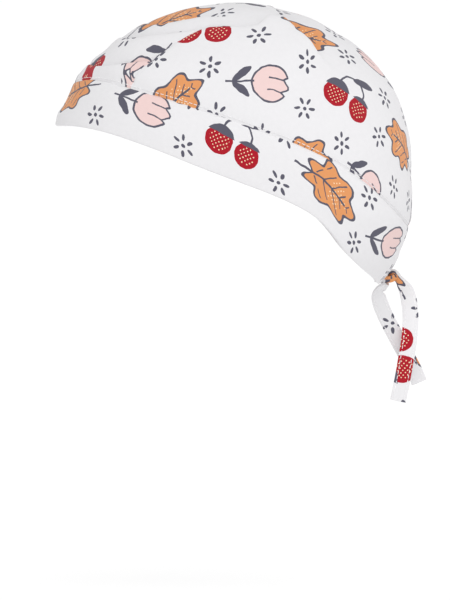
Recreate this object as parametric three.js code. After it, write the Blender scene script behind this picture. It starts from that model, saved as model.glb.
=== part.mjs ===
// Bandana cap: a cotton crown with draped folds, sewn to a wide band that runs from the forehead down to the
// nape, where its two ends narrow into ties that hook round each other in a half knot and hang.
// The cap has the form that a head gives it. Millimetres, +Z up, the brow towards -Y, the wearer's left at +X.
// The origin is the centre of the head hollow, level with the widest part of the head.
import * as THREE from "three";

// Cloth walls and the gap between edges that are sewn together.
const CROWN_WALL = 1.2;
const BAND_WALL = 1.8;
const SEWN_GAP = 0.3;

// Dome that the cloth lies on. An arch across the head is an ellipse at power 2, and squarer above that.
const HALF_BREADTH = 78;
const ARCH_POWER = 2.35;
const BACK_WIDENING = 0.04;

// Outline of the cap from the side: reach from the origin, at each turn from the brow (0 degrees) over the
// top (90) to the back of the head (180) and the nape.
const SIDE_OUTLINE = [
  { turn: 0, reach: 104 },
  { turn: 16, reach: 105.1 },
  { turn: 30, reach: 104.9 },
  { turn: 40, reach: 103 },
  { turn: 52, reach: 101.9 },
  { turn: 62, reach: 100.3 },
  { turn: 75, reach: 99 },
  { turn: 98, reach: 98.8 },
  { turn: 112, reach: 98.9 },
  { turn: 130, reach: 100.5 },
  { turn: 150, reach: 102 },
  { turn: 160, reach: 100.7 },
  { turn: 168, reach: 100.3 },
  { turn: 178, reach: 98.6 },
  { turn: 185, reach: 99.6 },
  { turn: 190, reach: 100 },
  { turn: 196, reach: 100.7 },
  { turn: 203, reach: 99.9 },
  { turn: 210, reach: 100.7 },
  { turn: 220, reach: 99.8 },
  { turn: 230, reach: 97.6 },
];
const LOWEST_TURN = -60;

// Heights of the band's lower rim and of its upper seam, at stations from the brow to the nape.
const RIM = [
  { station: -104, height: 29.2 },
  { station: -90, height: 29 },
  { station: -75, height: 26.2 },
  { station: -60, height: 21.6 },
  { station: -40, height: 14.3 },
  { station: -20, height: 6.2 },
  { station: 0, height: -1.4 },
  { station: 20, height: -9 },
  { station: 37, height: -17 },
  { station: 46, height: -23.2 },
  { station: 53, height: -30.8 },
  { station: 60, height: -40 },
  { station: 68, height: -48.4 },
  { station: 78, height: -57.2 },
  { station: 81, height: -60.6 },
  { station: 90, height: -66 },
];
const SEAM = [
  { station: -104, height: 50 },
  { station: -92, height: 52.8 },
  { station: -81, height: 54.8 },
  { station: -70, height: 53.4 },
  { station: -56, height: 49.2 },
  { station: -40, height: 44.8 },
  { station: -20, height: 38.5 },
  { station: 0, height: 31.6 },
  { station: 30, height: 20.6 },
  { station: 50, height: 11.4 },
  { station: 62, height: 4.8 },
  { station: 74, height: -4.3 },
  { station: 88, height: -17.5 },
  { station: 100, height: -30.5 },
];
const BAND_PROUD = 0.4;
const BAND_ROLL = 0.7;
// Half of the slit between the band's ends at the nape: nearly shut at the seam, and open and even along the
// lower share of the band's ends, where the ties begin.
const SLIT_TOP = 0.6;
const SLIT_BOTTOM = 8.2;
const SLIT_EVEN_SHARE = 0.34;

// Draped folds of the crown on the wearer's left, mirrored on the right. Each runs over three places, given by
// their turn and their distance from the middle plane. Its edge lies over the cloth on its inner side by depth,
// and the raised cloth sinks back to the dome over its spread.
const FOLDS = [
  { name: "temple", turns: [40, 56, 97], sides: [56, 53, 46], depth: 2.8, spread: 26 },
  { name: "brow", turns: [37, 43, 54], sides: [6, 41, 53], depth: 2.2, spread: 14 },
  { name: "front", turns: [47, 61, 74], sides: [6, 40, 46], depth: 2.2, spread: 14 },
  { name: "top", turns: [57, 70, 94], sides: [8, 33, 34], depth: 1.9, spread: 12 },
  { name: "back", turns: [104, 111, 124], sides: [6, 36, 48], depth: 2.6, spread: 22 },
];
const FOLD_EDGE = 2.6;
const FOLD_SAMPLES = 14;
const FOLD_FADE = 0.22;

// Place, by its turn in the middle plane, where the crown's cloth gathers at the top of the back, and the puff of
// its cloth just above the seam, over a share of its height.
const CROWN_TOP_TURN = 110;
const CROWN_PUFF = 1.6;
const PUFF_SHARE = 0.16;
const PUFF_LEAN = 0.5;
// Share of the crown's height over which the folds are pressed flat towards the seam, from below it to full.
const PRESSED_BELOW = -0.04;
const PRESSED_UP_TO = 0.1;

// How finely the cloth is divided. Columns stand closer together over the brow, where the folds are.
const CROWN_COLUMNS = 84;
const CROWN_ROWS = 22;
const BROW_CROWDING = 0.4;
const SEAM_CROWDING = 1.25;
const BAND_COLUMNS = 96;
const BAND_ROWS = 6;
const TIE_STEPS = 46;
// Triangles with a side below this are left out: they are where rows meet in one point.
const SHORTEST_SIDE = 1e-4;
// Elevations between which the band's edges are searched for, and how often that range is halved.
const LOWEST_EDGE = -70;
const HIGHEST_EDGE = 80;
const EDGE_HALVINGS = 40;

// Ways that the flat of a tie can face: out from the nape, down, to the wearer's left, and between these.
const OUT = new THREE.Vector3(0, 0.82, -0.57);
const DOWN = new THREE.Vector3(0, 0, -1);
const LEFT = new THREE.Vector3(1, 0, 0);
const OUT_LEFT = new THREE.Vector3(0.7, 0.58, -0.4);
const DOWN_LEFT = new THREE.Vector3(0.7, 0, -0.7);

// Routes of the ties, from the band's ends through the hooks of the half knot to the hemmed tips.
const TIE_LEFT = [
  { x: 7.8, y: 83.9, z: -54.5, width: 10.5, thick: 1.6, facing: OUT },
  { x: 6.2, y: 83.9, z: -54.5, width: 5, thick: 2.4, facing: OUT },
  { x: 2, y: 84, z: -53, width: 3.6, thick: 3.6, facing: OUT },
  { x: -0.9, y: 84.1, z: -54.3, width: 3.6, thick: 3.6, facing: OUT },
  { x: -2, y: 84.1, z: -57.2, width: 3.6, thick: 3.6, facing: OUT },
  { x: -0.9, y: 84.1, z: -60, width: 3.6, thick: 3.6, facing: OUT },
  { x: 1.7, y: 84, z: -61.1, width: 3.6, thick: 3.6, facing: OUT },
  { x: 4.6, y: 82.9, z: -61.4, width: 5.2, thick: 2.8, facing: OUT },
  { x: 6.6, y: 81.2, z: -63.2, width: 7, thick: 2, facing: OUT_LEFT },
  { x: 6.9, y: 80.5, z: -67, width: 8.4, thick: 1.5, facing: LEFT },
  { x: 5.6, y: 81.7, z: -71.4, width: 9, thick: 1.3, facing: LEFT },
  { x: 2.9, y: 84, z: -77, width: 9, thick: 1.3, facing: LEFT },
  { x: -1.2, y: 87.8, z: -84.6, width: 9, thick: 1.3, facing: LEFT },
  { x: -4.2, y: 92.4, z: -93, width: 9, thick: 1.3, facing: LEFT },
  { x: -6.2, y: 96.8, z: -101, width: 9, thick: 1.3, facing: LEFT },
  { x: -7.4, y: 100.8, z: -108.5, width: 9, thick: 1.3, facing: LEFT },
  { x: -8, y: 103.8, z: -115.5, width: 9, thick: 1.3, facing: LEFT },
];
const TIE_RIGHT = [
  { x: -7.8, y: 83.9, z: -54.5, width: 10.5, thick: 1.6, facing: OUT },
  { x: -6.3, y: 83.9, z: -54.5, width: 4.8, thick: 2.4, facing: OUT },
  { x: -4.7, y: 80.9, z: -56, width: 3.6, thick: 3.2, facing: OUT },
  { x: -1.7, y: 80.1, z: -57.2, width: 3.6, thick: 3.6, facing: DOWN },
  { x: 1.1, y: 81.2, z: -57.2, width: 3.6, thick: 3.6, facing: DOWN },
  { x: 2.2, y: 84, z: -57.2, width: 3.6, thick: 3.6, facing: DOWN },
  { x: 1.1, y: 86.9, z: -57, width: 3.6, thick: 3.6, facing: DOWN },
  { x: -1.2, y: 88.5, z: -56.2, width: 4.4, thick: 3.2, facing: DOWN_LEFT },
  { x: -3, y: 89, z: -54.7, width: 6.2, thick: 2.2, facing: LEFT },
  { x: -4, y: 90.3, z: -55.4, width: 5.4, thick: 1.9, facing: LEFT },
  { x: -4.7, y: 92, z: -57.1, width: 4.4, thick: 2, facing: LEFT },
  { x: -5.2, y: 94, z: -59.8, width: 6.4, thick: 1.7, facing: LEFT },
  { x: -5, y: 96.4, z: -63.8, width: 8.6, thick: 1.4, facing: LEFT },
  { x: -3.9, y: 97.9, z: -69.6, width: 9, thick: 1.3, facing: LEFT },
  { x: -1.8, y: 98.6, z: -76, width: 9, thick: 1.3, facing: LEFT },
  { x: 1.4, y: 98.5, z: -83.4, width: 9, thick: 1.3, facing: LEFT },
  { x: 3.6, y: 97.6, z: -92, width: 9, thick: 1.3, facing: LEFT },
  { x: 4.6, y: 96.1, z: -101, width: 9, thick: 1.3, facing: LEFT },
  { x: 5, y: 94.2, z: -112, width: 9, thick: 1.3, facing: LEFT },
  { x: 4.8, y: 91.5, z: -125.5, width: 9, thick: 1.3, facing: LEFT },
];
const TIE_CORNER = 0.29;

const CLOTH_COLOUR = 0xededf0;
const CLOTH_ROUGHNESS = 0.85;

const { degToRad, radToDeg, lerp, smoothstep } = THREE.MathUtils;

// A smooth curve through two columns of a table.
function tableCurve(rows, place, value) {
  const places = rows.map((row) => row[place]);
  const values = rows.map((row) => row[value]);
  const curve = new THREE.CubicInterpolant(places, values, 1);
  return (at) => curve.evaluate(at)[0];
}

const sideReach = tableCurve(SIDE_OUTLINE, "turn", "reach");
const rimHeight = tableCurve(RIM, "station", "height");
const seamHeight = tableCurve(SEAM, "station", "height");

// Unit direction from the origin: azimuth 0 is the brow, 90 the wearer's left and 180 the nape.
function directionOf(azimuth, elevation) {
  const level = Math.cos(degToRad(elevation));
  const around = degToRad(azimuth);
  return new THREE.Vector3(
    level * Math.sin(around),
    -level * Math.cos(around),
    Math.sin(degToRad(elevation)),
  );
}

// Distance from the origin to the smooth dome in a direction.
function domeReach(way) {
  let turn = radToDeg(Math.atan2(way.z, -way.y));
  if (turn < LOWEST_TURN) turn += 360;
  const breadth = HALF_BREADTH * (1 + BACK_WIDENING * way.y);
  const across = (Math.abs(way.x) / breadth) ** ARCH_POWER;
  const along = (Math.hypot(way.y, way.z) / sideReach(turn)) ** ARCH_POWER;
  return (across + along) ** (-1 / ARCH_POWER);
}

function domePoint(way, lift = 0) {
  return way.clone().multiplyScalar(domeReach(way) + lift);
}

// Point of the dome at a turn over the head and a distance from the middle plane.
function domePlace(turn, side) {
  const ahead = -Math.cos(degToRad(turn));
  const up = Math.sin(degToRad(turn));
  const breadth = HALF_BREADTH * (1 + BACK_WIDENING * ahead);
  const share = (1 - (side / breadth) ** ARCH_POWER) ** (1 / ARCH_POWER);
  const reach = sideReach(turn) * share;
  return new THREE.Vector3(side, ahead * reach, up * reach);
}

// Elevation at which the dome meets an edge of the band, at an azimuth.
function edgeElevation(azimuth, edgeHeight) {
  let below = LOWEST_EDGE;
  let above = HIGHEST_EDGE;
  for (let step = 0; step < EDGE_HALVINGS; step++) {
    const middle = (below + above) / 2;
    const point = domePoint(directionOf(azimuth, middle));
    if (point.z < edgeHeight(point.y)) below = middle;
    else above = middle;
  }
  return (below + above) / 2;
}

// Fold lines as points on the dome, each with the direction along the dome to its raised side.
const foldLines = FOLDS.map((fold) => {
  const places = fold.turns.map((turn, row) => domePlace(turn, fold.sides[row]));
  const line = new THREE.CatmullRomCurve3(places);
  const points = line.getSpacedPoints(FOLD_SAMPLES);
  const raisedWays = points.map((point, step) => {
    const along = line.getTangentAt(step / FOLD_SAMPLES);
    return along.cross(point.clone().normalize()).normalize();
  });
  return { ...fold, points, raisedWays };
});

// Height of the folds above the dome at a point of it: full at a fold's edge, sinking away on its raised side.
function foldLift(point) {
  const mirrored = new THREE.Vector3(Math.abs(point.x), point.y, point.z);
  let lift = 0;
  for (const fold of foldLines) {
    let nearest = 0;
    fold.points.forEach((place, step) => {
      if (place.distanceTo(mirrored) < fold.points[nearest].distanceTo(mirrored)) nearest = step;
    });
    const offset = mirrored.clone().sub(fold.points[nearest]);
    const raised = offset.dot(fold.raisedWays[nearest]);
    const beyondEnd = Math.sqrt(Math.max(0, offset.lengthSq() - raised ** 2));
    const along = nearest / FOLD_SAMPLES;
    const ends = smoothstep(along, -FOLD_FADE, FOLD_FADE) * smoothstep(1 - along, -FOLD_FADE, FOLD_FADE);
    const step = smoothstep(raised, -FOLD_EDGE, 0) * Math.exp(-Math.max(0, raised) / fold.spread);
    lift += fold.depth * ends * step * Math.exp(-((beyondEnd / fold.spread) ** 2));
  }
  return lift;
}

// A closed body from quads, each a list of four points seen anticlockwise from outside.
function facets(quads) {
  const corners = [];
  for (const [a, b, c, d] of quads) {
    for (const triangle of [[a, b, c], [a, c, d]]) {
      const sides = triangle.map((point, i) => point.distanceTo(triangle[(i + 1) % 3]));
      if (Math.min(...sides) > SHORTEST_SIDE) corners.push(...triangle);
    }
  }
  const geometry = new THREE.BufferGeometry().setFromPoints(corners);
  geometry.computeVertexNormals();
  return geometry;
}

// A wall of cloth between an outer and an inner grid of points. Rows run upwards, and columns anticlockwise
// seen from above. A ring joins its last column to its first.
function clothWall(outer, inner, ring) {
  const quads = [];
  const rows = outer.length - 1;
  const columns = outer[0].length - 1;
  for (let row = 0; row < rows; row++) {
    for (let column = 0; column < columns; column++) {
      const next = column + 1;
      const above = row + 1;
      quads.push([outer[row][column], outer[row][next], outer[above][next], outer[above][column]]);
      quads.push([inner[row][next], inner[row][column], inner[above][column], inner[above][next]]);
    }
  }
  for (let column = 0; column < columns; column++) {
    const next = column + 1;
    quads.push([inner[0][column], inner[0][next], outer[0][next], outer[0][column]]);
    quads.push([outer[rows][column], outer[rows][next], inner[rows][next], inner[rows][column]]);
  }
  if (!ring) {
    for (let row = 0; row < rows; row++) {
      const above = row + 1;
      quads.push([inner[row][0], outer[row][0], outer[above][0], inner[above][0]]);
      quads.push([outer[row][columns], inner[row][columns], inner[above][columns], outer[above][columns]]);
    }
  }
  return facets(quads);
}

// The crown: columns of cloth that run from the seam up to the top of the back.
function crownGeometry() {
  const top = domePlace(CROWN_TOP_TURN, 0).normalize();
  const halfGap = radToDeg(SEWN_GAP / 2 / domeReach(top));
  const outer = [];
  const inner = [];
  for (let row = 0; row <= CROWN_ROWS; row++) {
    outer.push([]);
    inner.push([]);
    const rise = (row / CROWN_ROWS) ** SEAM_CROWDING;
    const puff = CROWN_PUFF * Math.sin(Math.PI * Math.min(1, rise / PUFF_SHARE) ** PUFF_LEAN);
    for (let column = 0; column <= CROWN_COLUMNS; column++) {
      const around = (column % CROWN_COLUMNS) * ((2 * Math.PI) / CROWN_COLUMNS);
      const azimuth = radToDeg(around - BROW_CROWDING * Math.sin(around));
      const foot = directionOf(azimuth, edgeElevation(azimuth, seamHeight) + halfGap);
      const climb = foot.angleTo(top) * rise;
      const axis = new THREE.Vector3().crossVectors(foot, top).normalize();
      const way = row < CROWN_ROWS ? foot.applyAxisAngle(axis, climb) : top;
      const lift = puff + foldLift(domePoint(way)) * smoothstep(rise, PRESSED_BELOW, PRESSED_UP_TO);
      outer[row].push(domePoint(way, lift));
      inner[row].push(domePoint(way, lift - CROWN_WALL));
    }
  }
  return clothWall(outer, inner, true);
}

// The band: one strip from the slit at the nape round the forehead and back, softly rolled between its edges.
function bandGeometry() {
  const outer = [];
  const inner = [];
  for (let row = 0; row <= BAND_ROWS; row++) {
    outer.push([]);
    inner.push([]);
    const rise = row / BAND_ROWS;
    const nape = lerp(edgeElevation(180, rimHeight), edgeElevation(180, seamHeight), rise);
    const napeReach = domeReach(directionOf(180, nape)) * Math.cos(degToRad(nape));
    const slit = radToDeg(lerp(SLIT_BOTTOM, SLIT_TOP, smoothstep(rise, SLIT_EVEN_SHARE, 1)) / napeReach);
    const lift = BAND_PROUD + BAND_ROLL * Math.sin(Math.PI * rise);
    for (let column = 0; column <= BAND_COLUMNS; column++) {
      const azimuth = lerp(slit - 180, 180 - slit, column / BAND_COLUMNS);
      const rim = edgeElevation(azimuth, rimHeight);
      const seam = edgeElevation(azimuth, seamHeight);
      const halfGap = radToDeg(SEWN_GAP / 2 / napeReach);
      const way = directionOf(azimuth, lerp(rim, seam - halfGap, rise));
      outer[row].push(domePoint(way, lift));
      inner[row].push(domePoint(way, lift - BAND_WALL));
    }
  }
  return clothWall(outer, inner, false);
}

// A tie: a folded strip that follows its route, flat where it hangs and crumpled round where it is hooked.
function tieGeometry(route) {
  const line = new THREE.CatmullRomCurve3(route.map((row) => new THREE.Vector3(row.x, row.y, row.z)));
  const rings = [];
  for (let step = 0; step <= TIE_STEPS; step++) {
    const place = step / TIE_STEPS;
    const row = Math.min(Math.floor(place * (route.length - 1)), route.length - 2);
    const share = place * (route.length - 1) - row;
    const width = lerp(route[row].width, route[row + 1].width, share) / 2;
    const thick = lerp(route[row].thick, route[row + 1].thick, share) / 2;
    const along = line.getTangent(place);
    const facing = route[row].facing.clone().lerp(route[row + 1].facing, share);
    const across = new THREE.Vector3().crossVectors(facing, along).normalize();
    const outwards = new THREE.Vector3().crossVectors(along, across);
    const cut = TIE_CORNER * 2 * Math.min(width, thick);
    const section = [
      [width, cut - thick], [width, thick - cut], [width - cut, thick], [cut - width, thick],
      [-width, thick - cut], [-width, cut - thick], [cut - width, -thick], [width - cut, -thick],
    ];
    rings.push(section.map(([wide, deep]) =>
      line.getPoint(place).addScaledVector(across, wide).addScaledVector(outwards, deep)));
  }
  const quads = [];
  const sides = rings[0].length;
  for (let step = 0; step < TIE_STEPS; step++) {
    for (let side = 0; side < sides; side++) {
      const next = (side + 1) % sides;
      quads.push([rings[step][side], rings[step][next], rings[step + 1][next], rings[step + 1][side]]);
    }
  }
  const start = rings[0];
  const tip = rings[TIE_STEPS];
  for (let side = 1; side < sides - 1; side += 2) {
    quads.push([start[0], start[side + 2], start[side + 1], start[side]]);
    quads.push([tip[0], tip[side], tip[side + 1], tip[side + 2]]);
  }
  return facets(quads);
}

function clothPiece(name, geometry) {
  const material = new THREE.MeshStandardMaterial({ color: CLOTH_COLOUR, roughness: CLOTH_ROUGHNESS });
  const piece = new THREE.Mesh(geometry, material);
  piece.name = name;
  return piece;
}

const cap = new THREE.Group();
cap.name = "bandana_cap";
cap.add(clothPiece("crown", crownGeometry()));
cap.add(clothPiece("band", bandGeometry()));
cap.add(clothPiece("tie_left", tieGeometry(TIE_LEFT)));
cap.add(clothPiece("tie_right", tieGeometry(TIE_RIGHT)));

export default cap;
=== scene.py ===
"""Printed cotton bandana cap: a draped crown on a folded band, with ties in a half knot at the nape."""
import math
from collections import namedtuple

import bmesh
import bpy
import numpy as np
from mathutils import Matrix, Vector, noise


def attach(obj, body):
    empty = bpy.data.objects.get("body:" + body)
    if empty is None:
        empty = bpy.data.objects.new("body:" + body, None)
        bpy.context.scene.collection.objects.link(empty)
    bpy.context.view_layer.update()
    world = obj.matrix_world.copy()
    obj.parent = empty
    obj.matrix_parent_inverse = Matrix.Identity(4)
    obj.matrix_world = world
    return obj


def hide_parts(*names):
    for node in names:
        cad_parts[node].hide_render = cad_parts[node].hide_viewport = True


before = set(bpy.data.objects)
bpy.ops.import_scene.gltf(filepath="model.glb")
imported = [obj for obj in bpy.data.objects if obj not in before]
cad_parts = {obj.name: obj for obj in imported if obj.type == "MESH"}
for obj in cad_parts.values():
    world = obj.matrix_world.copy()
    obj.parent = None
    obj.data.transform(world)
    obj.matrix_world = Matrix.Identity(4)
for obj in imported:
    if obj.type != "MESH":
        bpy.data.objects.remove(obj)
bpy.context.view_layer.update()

bl_info = {
    "name": "Bandana cap",
    "version": (1, 0, 0),
    "blender": (4, 5, 0),
    "location": "3D View > Sidebar > Bandana cap",
    "description": "Builds a printed cotton bandana cap and the studio that it is seen in",
    "category": "Object",
}

BODY = "root"
COTTON = "printed_cotton_poplin"
THREAD = "spun_polyester_thread"
FLAT_MAP = "flat_cloth"

# Tables and sizes of the cloth are in millimetres and degrees, and meshes are in metres.
MM = 0.001

# Outline from the side: turn from brow (0) over the top (90) to the back (180), and reach from the origin.
SIDE_OUTLINE = (
    (0, 104), (16, 105.1), (30, 104.9), (40, 103), (52, 101.9), (62, 100.3), (75, 99), (98, 98.8),
    (112, 98.9), (130, 100.5), (150, 102), (160, 100.7), (168, 100.3), (178, 98.6), (185, 99.6), (190, 100),
    (196, 100.7), (203, 99.9), (210, 100.7), (220, 99.8), (230, 97.6),
)
LOWEST_TURN = -60
HALF_BREADTH = 78
ARCH_POWER = 2.35
BACK_WIDENING = 0.04

# The band's lower rim and its seam to the crown: station from brow to nape, and height.
RIM = (
    (-104, 29.2), (-90, 29), (-75, 26.2), (-60, 21.6), (-40, 14.3), (-20, 6.2), (0, -1.4), (20, -9),
    (37, -17), (46, -23.2), (53, -30.8), (60, -40), (68, -48.4), (78, -57.2), (81, -60.6), (90, -66),
)
SEAM = (
    (-104, 50), (-92, 52.8), (-81, 54.8), (-70, 53.4), (-56, 49.2), (-40, 44.8), (-20, 38.5), (0, 31.6),
    (30, 20.6), (50, 11.4), (62, 4.8), (74, -4.3), (88, -17.5), (100, -30.5),
)
EDGE_SEARCH = (-70.0, 80.0, 40)

# Draped folds on the wearer's left, mirrored on the right, through places given by turn and distance from the
# middle plane. The cloth on the right of a line, seen along it from outside, lies over the cloth on its left.
# depth is the height of the upper cloth's edge, valley the share of it by which the lower cloth is sunk, lip
# how far that edge is turned over, spread how far the raised cloth takes to sink back, taken_in the cloth
# hidden under the edge, and fade the length of the fold's soft far end.
Fold = namedtuple("Fold", "name depth valley lip spread taken_in fade places")
FOLDS = (
    Fold("temple", 2.0, 0.5, 1.0, 26, 0, 6, (
        (38, 57.5), (43.5, 56), (49.5, 55.3), (55, 55.5), (60, 54), (68, 51.7), (75, 49.6), (79, 48.7),
        (84, 49.4), (90, 50), (94, 50), (98.5, 48.4), (101.7, 42.3), (103, 36),
    )),
    Fold("brow", 2.2, 0.5, 1.0, 12, 9, 0, (
        (36.5, 0), (36.7, 14), (37.5, 28), (40.7, 40), (44, 46), (48, 50.5), (53, 54), (56, 56),
    )),
    Fold("front", 2.2, 0.5, 1.0, 12, 11, 0, (
        (49.3, 0), (49.6, 15), (51, 29), (55.5, 37.5), (60, 41.7), (66, 45.8), (69, 47), (74, 47.6),
        (79, 48.6),
    )),
    Fold("top", 1.8, 0.5, 0.9, 11, 7, 22, (
        (57.5, 0), (58.6, 16), (61, 28), (65.5, 33.4), (70, 35.8), (74.5, 37), (79, 37.6),
        (84.5, 38.3), (90, 38.4),
    )),
    Fold("back", 2.8, 1.0, 1.0, 22, 10, 16, (
        (99.5, 0), (100.6, 19), (104.4, 35), (108, 42), (112.5, 46), (120, 50.2), (124, 51.6), (127, 52.5),
    )),
)
FOLD_SAMPLES = 72
POINTS_AT_ONCE = 4000
# The front folds lie between the temple and back folds, the temple fold runs under the back one, and the seam
# presses all of them flat.
FRONT_FOLDS = ("brow", "front", "top")
FRONT_START = (0.2, 2)
TEMPLE_END = (-1, 1.5)
PRESSED_CLIMB = (0.3, 9)
PAST_END_REACH = 5
# How a fold's edge is turned over: distance from the fold line on the raised side, then how far the cloth is
# moved across, and its share of the fold's depth, or of its valley where it is sunk.
LIP_ACROSS = (
    (-3.2, 0), (-2, 1), (-1.1, 1.6), (-0.6, 1.35), (-0.1, -0.1), (0.45, -1.95), (0.85, -2.7), (1.3, -2.5),
    (2.4, -1.8), (4.5, 0),
)
LIP_RISE = (
    (-3.2, -1), (-2, -1.02), (-1.1, -0.93), (-0.6, -0.6), (-0.1, -0.15), (0.45, 0.28), (0.85, 0.58),
    (1.3, 0.84), (2.4, 1), (4.5, 0.97),
)
# Past its lip and its valley a fold sinks away. It keeps a share of its depth at the middle plane, and the
# print is shifted by the cloth hidden in it.
LIP_END = 4.5
VALLEY_END = -3.2
VALLEY_SPREAD = 9
MIDDLE_SHARE = 0.12
MIDDLE_REACH = 26
HIDDEN = (-2.2, 0.6)
PRINT_SHIFT_REACH = 45

# Crown: where its rows meet, its net, and the lift of its cloth above the dome at a climb from the seam.
CROWN_TOP_TURN = 110
CROWN_COLUMNS = 260
CROWN_ROWS = 66
BROW_CROWDING = 0.4
SEAM_CROWDING = 1.25
ALLOWANCE_ROWS = 3
ALLOWANCE_STEP = 1.5
CROWN_LIFT = ((-5, -0.3), (0, 0), (0.6, 0.25), (1.5, 0.5), (5, 0.85), (13, 0.55), (26, 0))
FINE_REACHES = (5, 3.4)
FINE_MARGIN = 1.5
FINE_PAST_END = 4
TOP_CLOTH_MARGIN = 0.8
# Rolls of the cloth along the middle of the head: turn and height above the dome, and their reach sideways.
ROLLS = (
    (12, 0), (17, 0.8), (19.7, 1.4), (22.5, 0.2), (25, -0.3), (30.3, 0.5), (32.7, 0.8), (36.4, 0),
    (39.7, 1.4), (43.8, 0.4), (50, 0.1), (62, 0.3), (71, 0), (78, -0.35), (84, -0.6), (92, -0.5),
    (96.5, -0.95), (99, -1.1), (101.2, -0.1), (106, -0.05), (116, 0.5), (121, 0), (124.5, -0.6),
    (129, -0.25), (133, 0),
)
ROLL_REACH = 38
# Unevenness of the cloth: the size of its features, a seed, and the stretch of the places. A seed moves the
# places by so many steps.
NOISES = {
    "crown_puckers": (5.5, 3, (1, 1, 0.8)), "crown_drape": (26, 5, (1, 0.55, 1)),
    "crown_creases": (11, 9, (1, 1, 1)), "band_waves": (30, 2, (1, 1, 1)),
    "band_puckers": (5, 6, (1, 1, 1)), "band_pulls": (6, 4, (1, 0.08, 1)),
}
SEED_STEP = (1, 2.3, -1.7)
CROWN_PUCKER_REACH = 8
CROWN_PUCKER_START = (0.5, 3)
DRAPE_START = (4, 30)
DRAPE_SHARE = 0.7
CREASE_SHARE = 0.3

# Band: proud of the dome, rolled between its edges, folded double at the rim, pulled towards the ties, dipped
# where the crown is sewn on, and slit at the nape.
BAND_COLUMNS = 480
BAND_PLY_ROWS = 20
BAND_FOLD_ROWS = 8
BAND_PROUD = 0.4
BAND_ROLL = 0.7
BAND_BROW_ROLL = -0.4
BAND_BROW_REACH = (15, 70)
BAND_WALL = 1.8
BAND_PRESSED_WALL = 1.0
BAND_PRESSED_REACH = 7
BAND_WAVE_SHARE = 0.8
BAND_PUCKER_REACH = 6
PULL_SHARE = 2.2
PULL_REACH = 22
SEAM_DIP = 0.2
SEAM_DIP_REACH = 0.6
BELOW_SEAM = 0.1
SLIT_TOP = 0.6
SLIT_BOTTOM = 8.2
SLIT_EVEN_SHARE = 0.34

# Ties: places from the band's ends through the half knot to the tips, with width, thickness and the way that
# the flat of the strip faces. A bare place is on the flat hanging strip.
OUT = (0, 0.82, -0.57)
DOWN = (0, 0, -1)
LEFT = (1, 0, 0)
OUT_LEFT = (0.7, 0.58, -0.4)
DOWN_LEFT = (0.7, 0, -0.7)
TIE_WIDTH = 9
HANGING = (TIE_WIDTH, 1.3, LEFT)
TIE_LEFT = (
    (7.8, 83.9, -54.5, 10.5, 1.6, OUT), (6.2, 83.9, -54.5, 5, 2.4, OUT), (2, 84, -53, 3.6, 3.6, OUT),
    (-0.9, 84.1, -54.3, 3.6, 3.6, OUT), (-2, 84.1, -57.2, 3.6, 3.6, OUT), (-0.9, 84.1, -60, 3.6, 3.6, OUT),
    (1.7, 84, -61.1, 3.6, 3.6, OUT), (4.6, 82.9, -61.4, 5.2, 2.8, OUT), (6.6, 81.2, -63.2, 7, 2, OUT_LEFT),
    (6.9, 80.5, -67, 8.4, 1.5, LEFT), (5.6, 81.7, -71.4), (2.9, 84, -77), (-1.2, 87.8, -84.6),
    (-4.2, 92.4, -93), (-6.2, 96.8, -101), (-7.4, 100.8, -108.5), (-8, 103.8, -115.5),
)
TIE_RIGHT = (
    (-7.8, 83.9, -54.5, 10.5, 1.6, OUT), (-6.3, 83.9, -54.5, 4.8, 2.4, OUT), (-4.7, 80.9, -56, 3.6, 3.2, OUT),
    (-1.7, 80.1, -57.2, 3.6, 3.6, DOWN), (1.1, 81.2, -57.2, 3.6, 3.6, DOWN), (2.2, 84, -57.2, 3.6, 3.6, DOWN),
    (1.1, 86.9, -57, 3.6, 3.6, DOWN), (-1.2, 88.5, -56.2, 4.4, 3.2, DOWN_LEFT),
    (-3, 89, -54.7, 6.2, 2.2, LEFT), (-4, 90.3, -55.4, 5.4, 1.9, LEFT), (-4.7, 92, -57.1, 4.4, 2, LEFT),
    (-5.2, 94, -59.8, 6.4, 1.7, LEFT), (-5, 96.4, -63.8, 8.6, 1.4, LEFT), (-3.9, 97.9, -69.6),
    (-1.8, 98.6, -76), (1.4, 98.5, -83.4),
    (3.6, 97.6, -92), (4.6, 96.1, -101), (5, 94.2, -112), (4.8, 91.5, -125.5),
)
# Each tie's route and its side of the cap. Cut in one with the band's end, a tie carries on the band's print.
TIES = {"tie_left": (TIE_LEFT, 1), "tie_right": (TIE_RIGHT, -1)}
BAND_HALF_LENGTH = 289
TIE_PRINT_UP = 10
TIE_STEPS = 220
TIE_SIDES = 28
TIE_SQUARENESS = 0.3
# Width over thickness from which a tie lies flat, the crumpling where it is hooked, the groove that stitches
# press into it, and how its tip is rounded off.
FLAT_RATIO = (1.6, 4)
CRUMPLE_DEPTH = 0.1
CRUMPLE_LOBES = 4
CRUMPLE_TWIST = 0.5
GROOVE_DEPTH = 0.16
GROOVE_PLACE = 0.72
GROOVE_WIDTH = 0.09
TIP_STEPS = (0.25, 0.4)
TIP_SHARE = 0.86

# Stitches: rounded beads, given by place along the stitch and girth, arched a little and half sunk.
STITCH_PROFILE = ((-1, 0.25), (-0.8, 0.8), (-0.3, 1), (0.3, 1), (0.8, 0.8), (1, 0.25))
STITCH_SIDES = 6
STITCH_ARCH = 0.5
STITCH_SINK = 0.86
STITCHED_RATIO = 3
SEAM_SAMPLES = 1441
TIP_SAMPLES = 20

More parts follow.
